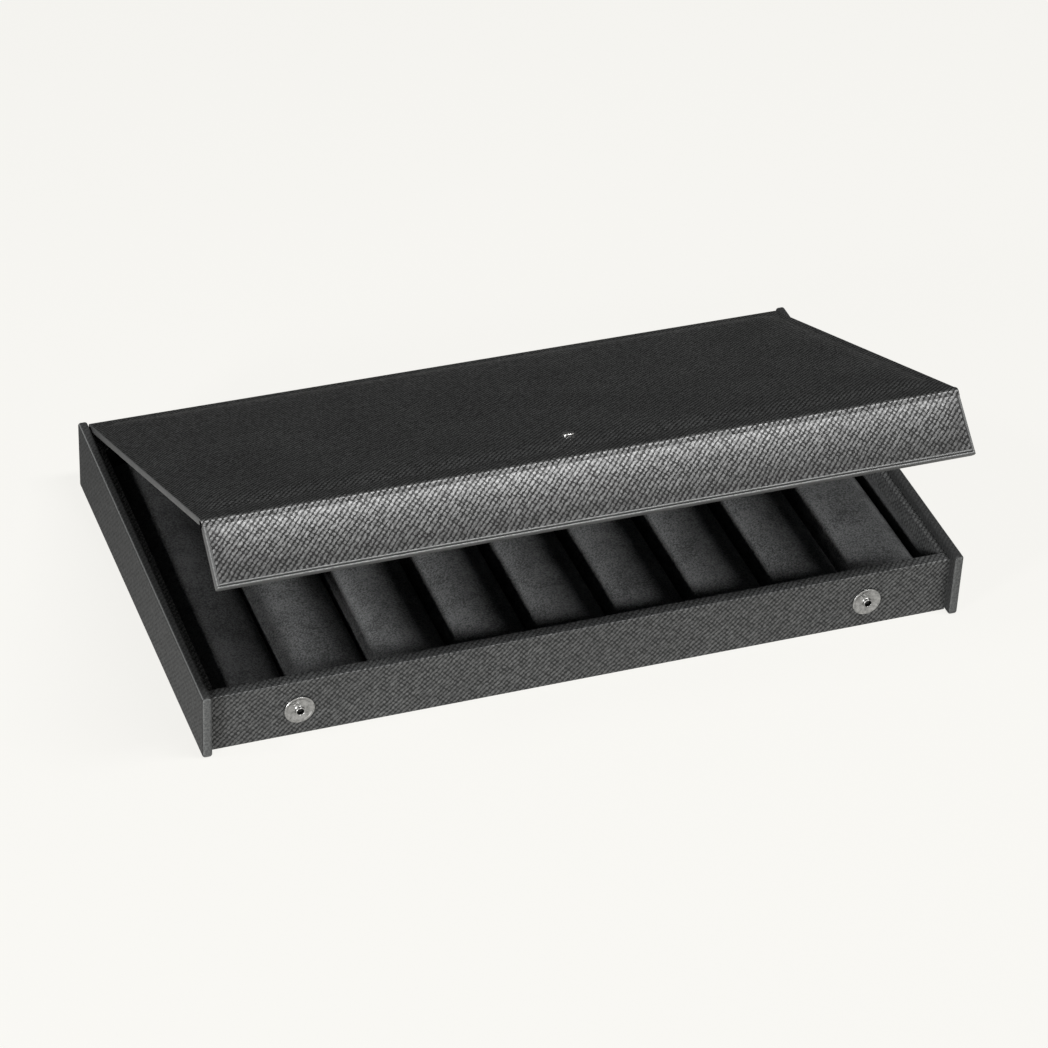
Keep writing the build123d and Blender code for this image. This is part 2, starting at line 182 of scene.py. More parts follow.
# %% [markdown]
# ## The leather's print
# Calfskin is pressed under a hot plate that leaves two sets of grooves at right angles, both at
# 45 degrees to the case's edges and about 1.7 mm apart. Small beads stand between them. The
# grooves that climb to the right are the deeper ones. Nothing on real skin is quite regular, so
# the places are first pushed about a little, and the beads differ in height.
#
# It could be modelled bead by bead, but that takes millions of faces. A height pattern that tilts
# the surface's shading gives the same sparkle for nothing.

# %% Shared group: leather print
FLOAT, VECTOR = "NodeSocketFloat", "NodeSocketVector"
# Half the root of two for the diagonals, the shape of the crests, the second rows' pitch as a
# share of the first's, and what pores and ironed skin add
DIAGONAL = 0.7071
GROOVE_POWER = 0.9
CROSS_PITCH = 0.97
PORE_HEIGHT = 0.08
IRONED_CREST = 0.75

# Spots to the metre of the random patterns
DRIFT, JITTER, LUMPS, BREAKS, PORES, MOTTLE = 42.0, 420.0, 800.0, 300.0, 2600.0, 28.0

print_tree, print_in, print_out = shared_group(
    "leather_print",
    [
        ("Place", VECTOR, None), ("Pressed", FLOAT, 0.0), ("Pitch", FLOAT, 1.7 * MM),
        ("Wander", FLOAT, 0.9 * MM),
    ],
    [("Height", FLOAT), ("Crest", FLOAT), ("Mottle", FLOAT)],
)


def pushed(tree, place, scale, amount):
    """Places pushed about by soft random steps of up to an amount."""
    wave = put(tree, "ShaderNodeTexNoise", {"Vector": place, "Scale": scale, "Detail": 1.0})
    sockets = {0: wave.outputs["Color"], 1: (0.5, 0.5, 0.5)}
    centred = put(tree, "ShaderNodeVectorMath", sockets, operation="SUBTRACT")
    step = put(tree, "ShaderNodeVectorMath", {0: centred.outputs[0], 3: amount}, operation="SCALE")
    moved = put(tree, "ShaderNodeVectorMath", {0: place, 1: step.outputs[0]}, operation="ADD")
    return moved.outputs[0]


def groove_rows(tree, along, pitch):
    """Rows of narrow grooves between rounded crests, one pitch apart: one in a groove's bottom."""
    turns = calc(tree, "DIVIDE", calc(tree, "MULTIPLY", along, pi), pitch)
    crests = calc(tree, "ABSOLUTE", calc(tree, "SINE", turns))
    return calc(tree, "SUBTRACT", 1.0, calc(tree, "POWER", crests, GROOVE_POWER))


def leather_print_recipe(tree, source, target):
    """Fills the shared group for the leather's print."""
    flat, pressed = source.outputs["Place"], source.outputs["Pressed"]
    pitch, wander = source.outputs["Pitch"], source.outputs["Wander"]
    place = pushed(tree, flat, DRIFT, calc(tree, "MULTIPLY", wander, 2.0))
    place = pushed(tree, place, JITTER, wander)
    x, y, _ = parts_of(tree, place)
    rising = calc(tree, "MULTIPLY", calc(tree, "SUBTRACT", x, y), DIAGONAL)
    falling = calc(tree, "MULTIPLY", calc(tree, "ADD", x, y), DIAGONAL)
    deep = groove_rows(tree, rising, pitch)
    cross = groove_rows(tree, falling, calc(tree, "MULTIPLY", pitch, CROSS_PITCH))

    # The crossing grooves come and go, and all grooves differ in depth
    breaks = speckle(tree, flat, BREAKS, 3.0, 0.6)
    pits = calc(tree, "MULTIPLY", deep, calc(tree, "MULTIPLY_ADD", cross, 0.25, 0.85))
    fading = span(tree, breaks, 0.35, 0.65, 0.15, 0.65)
    pits = calc(tree, "MULTIPLY_ADD", cross, fading, pits)
    pits = calc(tree, "MULTIPLY", pits, span(tree, breaks, 0.3, 0.7, 0.85, 1.25))
    beads = calc(tree, "SUBTRACT", 1.0, calc(tree, "MINIMUM", pits, 1.0))

    # Beads differ in height, and where the skin is ironed flat only the pores are left
    lumps = span(tree, speckle(tree, place, LUMPS), 0.3, 0.7, 0.4, 1.0)
    unpressed = calc(tree, "SUBTRACT", 1.0, pressed)
    pores = calc(tree, "MULTIPLY", speckle(tree, place, PORES), PORE_HEIGHT)
    height = calc(tree, "MULTIPLY", beads, lumps)
    height = calc(tree, "MULTIPLY_ADD", height, unpressed, pores)
    crest = calc(tree, "MULTIPLY", span(tree, beads, 0.15, 0.9), lumps)
    crest = calc(tree, "MULTIPLY", crest, unpressed)
    crest = calc(tree, "MULTIPLY_ADD", pressed, IRONED_CREST, crest)
    tree.links.new(height, target.inputs["Height"])
    tree.links.new(crest, target.inputs["Crest"])
    tree.links.new(speckle(tree, flat, MOTTLE, 3.0), target.inputs["Mottle"])


leather_print_recipe(print_tree, print_in, print_out)
print("leather print has", len(print_tree.nodes), "nodes")

# %% [markdown]
# ## Which way the print lies
# The hide is flat before it is cut, so the print follows each face it is glued to. The lid's long
# leather carries its own flat map in metres. The boards of the case are plain boxes, and there it
# is enough to look at the way a face points: an end panel takes depth and height, a wall takes
# width and height, and a top takes width and depth. The same group marks the end panels' ironed
# front and back edges, and the outer top corner, where hands rub off the dye.

# %% Shared group: place on a flat face
# From which share of its normal a face counts as facing along an axis, the end panels' inner
# faces, the height and slope of their tops, and where the rub at their corners fades
FACING = 0.707
PANEL_INSIDE = 155.9 * MM
PANEL_TOP, PANEL_RISE = 30.5 * MM, 3.0 / 190.0
RUB_WHOLE, RUB_GONE = 0.2 * MM, 0.7 * MM
CORNER_FROM, CORNER_TO = 159.2 * MM, 159.7 * MM

plane_tree, _, plane_out = shared_group(
    "face_plane", [], [("Place", VECTOR), ("Edge", FLOAT), ("Rubbed", FLOAT)]
)


def beyond(tree, value, limit):
    """One where a value is further from zero than a limit."""
    return calc(tree, "GREATER_THAN", calc(tree, "ABSOLUTE", value), limit)


def face_plane_recipe(tree, target):
    """Fills the shared group that lays a pattern flat on the face it is on."""
    x, y, z = parts_of(tree, object_place(tree))
    normal = put(tree, "ShaderNodeNewGeometry").outputs["True Normal"]
    sideways, lengthways, upwards = (
        beyond(tree, share, FACING) for share in parts_of(tree, normal)
    )
    on_wall, on_end, on_top = (
        put(tree, "ShaderNodeCombineXYZ", {0: right, 1: up}).outputs[0]
        for right, up in ((x, z), (y, z), (x, y))
    )
    sockets = {0: sideways, 4: on_wall, 5: on_end}
    upright = put(tree, "ShaderNodeMix", sockets, data_type="VECTOR").outputs[1]
    sockets = {0: upwards, 4: upright, 5: on_top}
    laid = put(tree, "ShaderNodeMix", sockets, data_type="VECTOR").outputs[1]
    tree.links.new(laid, target.inputs["Place"])

    edge = calc(tree, "MULTIPLY", beyond(tree, x, PANEL_INSIDE), lengthways)
    tree.links.new(edge, target.inputs["Edge"])

    above = calc(tree, "SUBTRACT", z, PANEL_TOP)
    above = calc(tree, "MULTIPLY_ADD", y, -PANEL_RISE, above)
    near = span(tree, calc(tree, "ABSOLUTE", above), RUB_WHOLE, RUB_GONE, 1.0, 0.0)
    corner = span(tree, calc(tree, "ABSOLUTE", x), CORNER_FROM, CORNER_TO)
    tree.links.new(calc(tree, "MULTIPLY", near, corner), target.inputs["Rubbed"])


face_plane_recipe(plane_tree, plane_out)
print("face plane has", len(plane_tree.nodes), "nodes")

# %% [markdown]
# ## Black leather
# The dye is nearly black, a little greyer on the crests where hands and the plate polish it. The
# crests are smoother than the grooves, and that gives the bright points on the flap. The grooves
# are painted much darker than the crests, as painted shade in the print's hollows.


# %% Leather finishes
# Colours of ironed skin, of the painted shade at a crease's bottom and of rubbed corners, and how
# much smoother the crests are and how far patches differ
IRONED_DARK, IRONED_LIGHT = (0.085, 0.087, 0.086, 1), (0.20, 0.204, 0.201, 1)
CREASE_SHADE_BLACK, RUBBED_GREY = (0.001, 0.001, 0.001, 1), (0.16, 0.163, 0.161, 1)
CREST_POLISH = 0.20
UNEVEN_POLISH = 0.10


def leather_finish(name, mapped, depth, crest_and_shade_greys, roughness, coat_roughness, polish=1.0):
    """Printed black leather, laid by the piece's own flat map or by the way its faces point."""
    material, tree, shader = finish_material(name)
    grain = put(tree, "ShaderNodeGroup", node_tree=print_tree)
    if mapped:
        place = put(tree, "ShaderNodeUVMap", uv_map="flat_hide").outputs[0]
        pressed = put(tree, "ShaderNodeAttribute", attribute_name="pressed").outputs["Fac"]
        crease_shade = put(tree, "ShaderNodeAttribute", attribute_name="crease_shade").outputs["Fac"]
    else:
        plane = put(tree, "ShaderNodeGroup", node_tree=plane_tree)
        place, pressed, rubbed = (plane.outputs[n] for n in ("Place", "Edge", "Rubbed"))
    tree.links.new(place, grain.inputs["Place"])
    tree.links.new(pressed, grain.inputs["Pressed"])
    crest, mottle = grain.outputs["Crest"], grain.outputs["Mottle"]

    # The groove grey is painted shade in the print's hollows; the crest grey is the dye.
    crest_grey, groove_shade_grey = crest_and_shade_greys
    crest_colour, worn_colour = tint(crest_grey, 1, 1.02, 1.02), tint(crest_grey, 1.4, 1.43, 1.42)
    top = blend_colour(tree, span(tree, mottle, 0.35, 0.75), crest_colour, worn_colour)
    scuffed = span(tree, speckle(tree, place, 1100.0, 3.0, 0.6), 0.3, 0.7)
    ironed = blend_colour(tree, scuffed, IRONED_DARK, IRONED_LIGHT)
    top = blend_colour(tree, pressed, top, ironed)
    skin = blend_colour(tree, crest, tint(groove_shade_grey, 1, 1.03, 1.03), top)
    # In creased grooves a near-black colour is painted as shade, and the coat is taken off there.
    if mapped:
        skin = blend_colour(tree, crease_shade, skin, CREASE_SHADE_BLACK)
        crest = calc(tree, "MULTIPLY", crest, calc(tree, "SUBTRACT", 1.0, crease_shade))
    else:
        skin = blend_colour(tree, rubbed, skin, RUBBED_GREY)
    tree.links.new(skin, shader.inputs["Base Color"])

    dull = calc(tree, "MULTIPLY_ADD", crest, -CREST_POLISH, roughness + CREST_POLISH)
    dull = calc(tree, "SUBTRACT", dull, UNEVEN_POLISH / 2)
    dull = calc(tree, "MULTIPLY_ADD", mottle, UNEVEN_POLISH, dull)
    tree.links.new(dull, shader.inputs["Roughness"])
    tree.links.new(calc(tree, "MULTIPLY", crest, polish), shader.inputs["Coat Weight"])
    shader.inputs["Coat Roughness"].default_value = coat_roughness
    shader.inputs["Coat IOR"].default_value = 1.7
    shader.inputs["Specular IOR Level"].default_value = 0.25
    roughen(tree, shader, 1.0, depth, grain.outputs["Height"])
    return material


# One black leather in three copies, with greys set by how brightly the lamps light each part: the
# lid and flap, and darker still the end panels, carry painted shade against the walls. The end
# panels' print is also shallower and duller.
lid_hide = leather_finish(
    "leather_lid", True, depth=0.50, crest_and_shade_greys=(0.036, 0.001), roughness=0.38, coat_roughness=0.33
)
case_hide = leather_finish(
    "leather_case", False, depth=0.26, crest_and_shade_greys=(0.078, 0.022), roughness=0.45, coat_roughness=0.40
)
end_hide_shaded = leather_finish(
    "leather_ends_shaded", False, depth=0.10, crest_and_shade_greys=(0.029, 0.017), roughness=0.62, coat_roughness=0.50,
    polish=0.12,
)


def edge_finish(name, grey, roughness):
    """The smooth skin over a cut or turned edge, pared thin and painted."""
    material, tree, shader = finish_material(name)
    place = object_place(tree)
    patches = speckle(tree, place, 160.0, 3.0)
    dark, light = tint(grey, 0.7, 0.71, 0.71), tint(grey, 1.3, 1.32, 1.31)
    tree.links.new(blend_colour(tree, patches, dark, light), shader.inputs["Base Color"])
    dull = span(tree, patches, 0.3, 0.7, roughness - 0.06, roughness + 0.08)
    tree.links.new(dull, shader.inputs["Roughness"])
    roughen(tree, shader, 0.6, 0.06, speckle(tree, place, 1500.0))
    return material


edge_skin = edge_finish("leather_edge", 0.05, 0.45)
leathers = (lid_hide, case_hide, end_hide_shaded, edge_skin)
print("leathers", {m.name: len(m.node_tree.nodes) for m in leathers})

# %% [markdown]
# ## Suede
# The tray, the walls inside and the lid inside are lined with black suede, a soft nap that eats
# light. Seen along the nap it shows a faint bloom, which the shader's sheen gives. Stroked patches
# differ in tone, and the pile itself is a very fine roughness.


# %% Suede finishes
# How much of the tone comes from stroking. The rest comes from the pile.
STROKED_SHARE = 0.3


def suede_finish(name, grey, bloom):
    """Short dark nap with stroked patches."""
    material, tree, shader = finish_material(name)
    place = object_place(tree)
    stroked = speckle(tree, place, 55.0, 5.0, 0.65)
    pile = speckle(tree, place, 1300.0, 3.0, 0.75)
    dark, light = tint(grey, 0.45, 0.46, 0.46), tint(grey, 1.55, 1.57, 1.58)
    tone = calc(tree, "MULTIPLY", pile, 1 - STROKED_SHARE)
    tone = calc(tree, "ADD", calc(tree, "MULTIPLY", stroked, STROKED_SHARE), tone)
    colour = blend_colour(tree, span(tree, tone, 0.38, 0.62), dark, light)
    tree.links.new(colour, shader.inputs["Base Color"])
    tree.links.new(span(tree, stroked, 0.2, 0.8, 0.86, 1.0), shader.inputs["Roughness"])
    shader.inputs["Specular IOR Level"].default_value = 0.0
    shader.inputs["Sheen Weight"].default_value = bloom
    shader.inputs["Sheen Roughness"].default_value = 0.45
    roughen(tree, shader, 0.7, 0.25, pile)
    return material


tray_suede = suede_finish("suede_tray", grey=0.115, bloom=0.04)
lining_suede = suede_finish("suede_lining", grey=0.06, bloom=0.04)
print("suedes", tray_suede.name, lining_suede.name)

# %% [markdown]
# ## Metal, cloth and board
# The studs and the button are nickel-plated and lightly brushed by use. The cloth under the base
# is a plain weave. The boards hardly show, but a part may be seen in pieces, so they get their
# fibres too.


# %% Metal finish
def metal_finish(name, grey, roughness):
    """Plated metal with faint wear."""
    material, tree, shader = finish_material(name)
    place = object_place(tree)
    haze = speckle(tree, place, 700.0, 4.0, 0.65)
    dark, light = tint(grey, 0.5, 0.5, 0.49), tint(grey, 1, 0.995, 0.98)
    colour = blend_colour(tree, span(tree, haze, 0.3, 0.7), dark, light)
    tree.links.new(colour, shader.inputs["Base Color"])
    dull = span(tree, haze, 0.25, 0.8, roughness, roughness + 0.16)
    tree.links.new(dull, shader.inputs["Roughness"])
    shader.inputs["Metallic"].default_value = 1.0
    roughen(tree, shader, 0.5, 0.03, speckle(tree, place, 3200.0))
    return material


stud_nickel = metal_finish("nickel_stud", grey=0.42, roughness=0.26)
# The knob's hollow is near-black nickel: painted shade in the recess.
painted_shade_nickel = metal_finish("nickel_painted_shade", grey=0.05, roughness=0.35)
button_nickel = metal_finish("nickel_button", grey=0.72, roughness=0.16)
print("metals", stud_nickel.name, painted_shade_nickel.name, button_nickel.name)


# %% Base cloth and board
def fibre_finish(name, colour, scale, depth):
    """A dull finish of fibres in one colour."""
    material, tree, shader = finish_material(name)
    fibres = speckle(tree, object_place(tree), scale, 4.0, 0.7)
    dark, light = ([c * share for c in colour] + [1] for share in (0.7, 1.2))
    mixed = blend_colour(tree, span(tree, fibres, 0.3, 0.7), dark, light)
    tree.links.new(mixed, shader.inputs["Base Color"])
    tree.links.new(span(tree, fibres, 0.2, 0.8, 0.8, 0.95), shader.inputs["Roughness"])
    roughen(tree, shader, 0.6, depth, fibres)
    return material


def cloth_finish(name, grey, thread):
    """A plain weave, over one thread and under the next."""
    material, tree, shader = finish_material(name)
    place = object_place(tree)
    x, y, _ = parts_of(tree, pushed(tree, place, 90.0, 0.4 * MM))
    turns = 2 * pi / (thread * MM)
    warp = calc(tree, "SINE", calc(tree, "MULTIPLY", x, turns))
    weft = calc(tree, "SINE", calc(tree, "MULTIPLY", y, turns))
    over = span(tree, calc(tree, "MULTIPLY", warp, weft), -1.0, 1.0)
    lint = speckle(tree, place, 900.0, 3.0)
    tone = calc(tree, "MULTIPLY_ADD", lint, 0.5, calc(tree, "MULTIPLY", over, 0.5))
    mixed = blend_colour(tree, tone, tint(grey, 0.5, 0.5, 0.5), tint(grey, 1.4, 1.4, 1.4))
    tree.links.new(mixed, shader.inputs["Base Color"])
    tree.links.new(span(tree, lint, 0.2, 0.8, 0.82, 0.95), shader.inputs["Roughness"])
    roughen(tree, shader, 0.8, 0.15, over)
    return material


base_cloth = cloth_finish("cloth_base", grey=0.02, thread=0.9)
grey_board = fibre_finish("grey_board", (0.30, 0.28, 0.25), scale=900.0, depth=0.1)
print("cloth and board", base_cloth.name, grey_board.name)

# %% [markdown]
# ## Where the folds are
# The leather folds along two lines, behind the lid and in front of it. A leaf is the lid or the
# flap: its own x runs to the right, its y runs back towards the fold behind it and its z points
# out of the leather. Shapes are drawn flat in a leaf and then carried to their place.
#
# A leaf's height is counted from the inner face of its board. The slopes are in degrees above the
# level, as the chest stands open in the photograph.

# %% Fold lines and leaves
# Thickness of a leaf and of its leather, half a leaf's width, and the bare leather on each side
# of a fold line
LEAF, LEATHER = 2.8, 0.8
LEAF_HALF = 155.5
FOLD_STRIP = 2.6
SPINE_SLOPE, LID_SLOPE, FLAP_SLOPE = 90.0, 22.3, -39.0
hinge_line = Vector((0, 93.6, 30.8782))
fold_line = Vector((0, -79.8984, 102.0351))
lid_length = (hinge_line - fold_line).length
FLAP_LENGTH = 27.2


def leaf_place(slope, line):
    """Takes millimetres in a leaf to metres in the chest."""
    out = Vector((0, sin(radians(slope)), cos(radians(slope))))
    back = Vector((0, cos(radians(slope)), -sin(radians(slope))))
    origin = line - out * (LEAF - LEATHER / 2)
    turn = Matrix((Vector((1, 0, 0)), back, out)).transposed().to_4x4()
    return Matrix.Scale(MM, 4) @ Matrix.Translation(origin) @ turn


lid_place = leaf_place(LID_SLOPE, hinge_line)
flap_place = leaf_place(FLAP_SLOPE, fold_line)
print("lid length mm", round(lid_length, 2), "flap length mm", FLAP_LENGTH)

# %% [markdown]
# ## Helpers for pieces
# A piece is drawn as a bmesh, carried to its place and turned into an object that stays at the
# origin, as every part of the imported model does.


# %% Piece helpers
# The angle from which an edge stays sharp, the steps of a rounded edge, and two tolerances for
# picking edges
SHARP_FROM = 55.0
ROUND_STEPS = 3
NEAR, TOUCHING = 0.1, 0.01


def piece_from(name, bm, place=Matrix.Scale(MM, 4), materials=()):
    """An object from a finished bmesh, smooth but for its sharp edges."""
    bmesh.ops.transform(bm, matrix=place, verts=bm.verts)
    for face in bm.faces:
        face.smooth = True
    for edge in bm.edges:
        edge.smooth = edge.calc_face_angle(0.0) < radians(SHARP_FROM)
    mesh = bpy.data.meshes.new(name)
    bm.to_mesh(mesh)
    bm.free()
    for material in materials:
        mesh.materials.append(material)
    piece = bpy.data.objects.new(name, mesh)
    bpy.context.scene.collection.objects.link(piece)
    print(name, "faces", len(mesh.polygons))
    return piece


def flat_grid(x_steps, y_steps, x_range, y_range, height):
    """A bmesh with one flat grid."""
    bm = bmesh.new()
    bmesh.ops.create_grid(bm, x_segments=x_steps, y_segments=y_steps, size=1.0)
    middle = Vector((sum(x_range) / 2, sum(y_range) / 2, height))
    size = Vector(((x_range[1] - x_range[0]) / 2, (y_range[1] - y_range[0]) / 2, 1))
    bmesh.ops.scale(bm, vec=size, verts=bm.verts)
    bmesh.ops.translate(bm, vec=middle, verts=bm.verts)
    return bm


def open_edges(bm, test):
    """The bmesh's open edges whose middle passes a test."""
    return [e for e in bm.edges if e.is_boundary and test((e.verts[0].co + e.verts[1].co) / 2)]


def apart(edge, axis):
    """How far an edge's two ends lie apart along an axis."""
    return abs(edge.verts[0].co[axis] - edge.verts[1].co[axis])


def draw_out(bm, edges, step):
    """Extrudes open edges by a step and returns the new verts."""
    new = bmesh.ops.extrude_edge_only(bm, edges=edges)["geom"]
    verts = [g for g in new if isinstance(g, bmesh.types.BMVert)]
    for vert in verts:
        vert.co += step(vert.co) if callable(step) else step
    return verts


def soften(bm, edges, radius):
    """Rounds edges to a radius."""
    bmesh.ops.bevel(
        bm, geom=edges, offset=radius, segments=ROUND_STEPS, profile=0.5, affect="EDGES",
        material=-1,
    )


def hide_map(bm, flat, pressed=lambda co: 0.0, crease_shade=lambda co: 0.0):
    """Writes the hide's flat map in metres, how far its print is ironed out, and its painted
    shade.
    """
    layer = bm.loops.layers.uv.new("flat_hide")
    for face in bm.faces:
        for loop in face.loops:
            loop[layer].uv = [v * MM for v in flat(loop.vert.co, face.normal)]
    ironed = bm.verts.layers.float.new("pressed")
    creased = bm.verts.layers.float.new("crease_shade")
    for vert in bm.verts:
        vert[ironed], vert[creased] = pressed(vert.co), crease_shade(vert.co)


def unevenness(x, y, layer, per_mm):
    """A soft random height between about -1 and 1. Each layer number has its own pattern."""
    return noise.noise(Vector((x, y, layer)) * per_mm)


def side_of(x):
    """One on the right, minus one on the left."""
    return 1 if x > 0 else -1


print("piece helpers ready")

# %% [markdown]
# ## The lid's leather
# Thin foam lies between the board and the leather, so the lid's face is a shallow cushion. It
# climbs over 15 mm from a flat margin, and is fullest in the middle. The leather turns round the
# board at both sides and is glued down inside. It stays flat along the two folds.
#
# One grid makes the face. Its side edges are drawn down and then inwards for the turned edges,
# and both corners are rounded.

# %% Lid leather
# Steps of the grid, the margins round the padding, and the radius of its corners
LID_STEPS_ACROSS, LID_STEPS_ALONG = 150, 84
PAD_SIDE, PAD_BACK, PAD_FRONT = 4.0, 5.0, 9.0
PAD_ROUND = 9.0
# The rise from the margin, the crown in the middle, and the turned edges
SHOULDER_WIDTH, SHOULDER_HEIGHT, SHOULDER_POWER = 15.0, 1.75, 2.4
CROWN_WIDTH, CROWN_HEIGHT = 25.0, 0.6
TURN_IN = 7.0
LID_EDGE_ROUND = 0.45
# From which share of its normal a face belongs to the flat map's sides, or is a bare edge
SIDE_FACING, EDGE_FACING = 0.7, 0.6
lid_back, lid_front = -FOLD_STRIP, -(lid_length - FOLD_STRIP)
pad_back, pad_front = lid_back - PAD_BACK, lid_front + PAD_FRONT
pad_middle = (pad_back + pad_front) / 2
pad_half = (LEAF_HALF - PAD_SIDE, (pad_back - pad_front) / 2)


def inside_pad(x, y):
    """How far a spot lies inside the padding's rounded outline."""
    dx = abs(x) - (pad_half[0] - PAD_ROUND)
    dy = abs(y - pad_middle) - (pad_half[1] - PAD_ROUND)
    return PAD_ROUND - min(max(dx, dy), 0) - hypot(max(dx, 0), max(dy, 0))


def pad_height(x, y):
    """Height of the cushioned face above the flat margin."""
    depth = max(0.0, inside_pad(x, y))
    shoulder = 1 - (1 - min(depth / SHOULDER_WIDTH, 1.0)) ** SHOULDER_POWER
    crown = (1 - (x / pad_half[0]) ** 2) * (1 - ((y - pad_middle) / pad_half[1]) ** 2)
    ripple = unevenness(x, y, 3, 0.03) * 0.22 + unevenness(x, y, 9, 0.11) * 0.06
    fullness = CROWN_HEIGHT * max(crown, 0) + ripple
    return SHOULDER_HEIGHT * shoulder + fullness * min(depth / CROWN_WIDTH, 1.0)


def lid_flat(co, normal):
    """Place on the flat hide of a corner of the lid or the flap, whose own y starts at zero."""
    if abs(normal.x) > SIDE_FACING:
        return side_of(co.x) * (LEAF_HALF + LEAF - co.z), co.y
    if normal.z < -SIDE_FACING:
        return side_of(co.x) * (2 * LEAF_HALF + LEAF - abs(co.x)), co.y
    return co.x, co.y


def on_side(co):
    """Whether a point lies on the lid's or the flap's left or right edge."""
    return abs(co.x) > LEAF_HALF - TOUCHING


leaf_width = (-LEAF_HALF, LEAF_HALF)
skin = flat_grid(LID_STEPS_ACROSS, LID_STEPS_ALONG, leaf_width, (lid_front, lid_back), LEAF)
for vert in skin.verts:
    vert.co.z += pad_height(vert.co.x, vert.co.y)
sides = open_edges(skin, lambda m: abs(m.x) > LEAF_HALF - NEAR)
draw_out(skin, sides, Vector((0, 0, -LEAF)))
feet = open_edges(skin, lambda m: m.z < NEAR)
inner = [e for e in feet if apart(e, 0) < NEAR]
draw_out(skin, inner, lambda co: Vector((-side_of(co.x) * TURN_IN, 0, 0)))
rims = [
    e
    for e in skin.edges
    if not e.is_boundary
    and all(on_side(v.co) for v in e.verts)
    and apart(e, 0) < NEAR
    and apart(e, 2) < TOUCHING
]
soften(skin, rims, LID_EDGE_ROUND)
bmesh.ops.recalc_face_normals(skin, faces=skin.faces)
skin.normal_update()
hide_map(skin, lid_flat)
for face in skin.faces:
    face.material_index = 1 if abs(face.normal.x) > EDGE_FACING else 0
lid_skin = piece_from("lid_leather_skin", skin, lid_place, (lid_hide, edge_skin))
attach(lid_skin, "lid")
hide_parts("lid_leather", "lid_foam")

# %% [markdown]
# ## The flap's leather
# The flap is one narrow leaf. The maker runs a hot creaser along its three free edges, which
# leaves a fine groove with a bright ridge beside it, just inside the smooth turned edge. The grid
# is cut along those lines, and the rows of points are pressed in or raised.

# %% Flap leather
FLAP_STEPS_ACROSS, FLAP_STEPS_ALONG = 120, 12
flap_back, flap_tip = -FOLD_STRIP, -FLAP_LENGTH
# Where the creased groove and its ridge lie inside the edge, and how deep and high they are
GROOVE_FROM, GROOVE_TO, RIDGE_TO = 0.85, 1.35, 2.0
groove_middle = (GROOVE_FROM + GROOVE_TO) / 2
GROOVE_DEPTH, CREASE_RIDGE = 0.34, 0.22
SIDE_CREASE = 0.5
CUT_LINES = (
    0.7, GROOVE_FROM, groove_middle, GROOVE_TO, 1.5, 1.7, 1.85, RIDGE_TO, 2.2, 2.6,
)
# The rounded edge, the soft bulge, the unevenness of the glued skin, and the turned tip
FLAP_EDGE_ROUND = 0.55
FLAP_BULGE, BULGE_WIDTH = 0.5, 6.0
SETTLE_FROM, SETTLE_WIDTH, SETTLE_HEIGHT = 3.0, 5.0, 0.06
TIP_TURN_IN = 2.0
# How far down an edge the face still counts, and half the width of the painted shade in the groove
EDGE_DEPTH, CREASE_SHADE_HALF = 0.5, 0.28


def cut_line(bm, point, direction):
    """Cuts every face of a bmesh along a plane."""
    geometry = bm.verts[:] + bm.edges[:] + bm.faces[:]
    bmesh.ops.bisect_plane(bm, geom=geometry, dist=1e-5, plane_co=point, plane_no=direction)


def crease_height(inside):
    """Height of the creased line at a distance inside the flap's edge."""
    if inside < GROOVE_FROM or inside > RIDGE_TO:
        return 0.0
    if inside < GROOVE_TO:
        return -GROOVE_DEPTH * sin(pi * (inside - GROOVE_FROM) / (GROOVE_TO - GROOVE_FROM))
    return CREASE_RIDGE * sin(pi * (inside - GROOVE_TO) / (RIDGE_TO - GROOVE_TO))


flap = flat_grid(FLAP_STEPS_ACROSS, FLAP_STEPS_ALONG, leaf_width, (flap_tip, flap_back), LEAF)
for inside in CUT_LINES:
    for side in (-1, 1):
        cut_line(flap, (side * (LEAF_HALF - inside), 0, 0), (1, 0, 0))
    cut_line(flap, (0, flap_tip + inside, 0), (0, 1, 0))
for vert in flap.verts:
    x, y = vert.co.x, vert.co.y
    from_tip, from_fold = y - flap_tip, flap_back - y
    inside = min(LEAF_HALF - abs(x), from_tip)
    vert.co.z += crease_height(inside) * (1.0 if inside == from_tip else SIDE_CREASE)
    down = from_fold / (flap_back - flap_tip)
    vert.co.z += FLAP_BULGE * 4 * down * (1 - down) * min(1.0, inside / BULGE_WIDTH)
    settle = min(1.0, max(0.0, (inside - SETTLE_FROM) / SETTLE_WIDTH))
    settle *= min(1.0, from_fold / SETTLE_WIDTH)
    vert.co.z += settle * SETTLE_HEIGHT * unevenness(x, y, 20, 0.035)
free = open_edges(flap, lambda m: m.y < flap_back - TOUCHING)
draw_out(flap, free, Vector((0, 0, -LEAF)))
feet = open_edges(flap, lambda m: m.z < NEAR)
level = [e for e in feet if apart(e, 2) < NEAR]


def flap_turn_in(co):
    """Step of the turned edge on the inside, which is wide at the sides and narrow at the tip."""
    inwards = -side_of(co.x) * TURN_IN if abs(co.x) > LEAF_HALF - NEAR else 0.0
    return Vector((inwards, TIP_TURN_IN if co.y < flap_tip + TIP_TURN_IN else 0.0, 0))


draw_out(flap, level, flap_turn_in)


def on_rim(co):
    """Whether a point lies on one of the flap's three free edges."""
    return on_side(co) or co.y < flap_tip + TOUCHING


rims = [
    e
    for e in flap.edges
    if not e.is_boundary
    and all(on_rim(v.co) for v in e.verts)
    and apart(e, 2) < GROOVE_DEPTH + TOUCHING
    and e.calc_face_angle(0.0) > 1.0
]
soften(flap, rims, FLAP_EDGE_ROUND)
bmesh.ops.recalc_face_normals(flap, faces=flap.faces)
flap.normal_update()


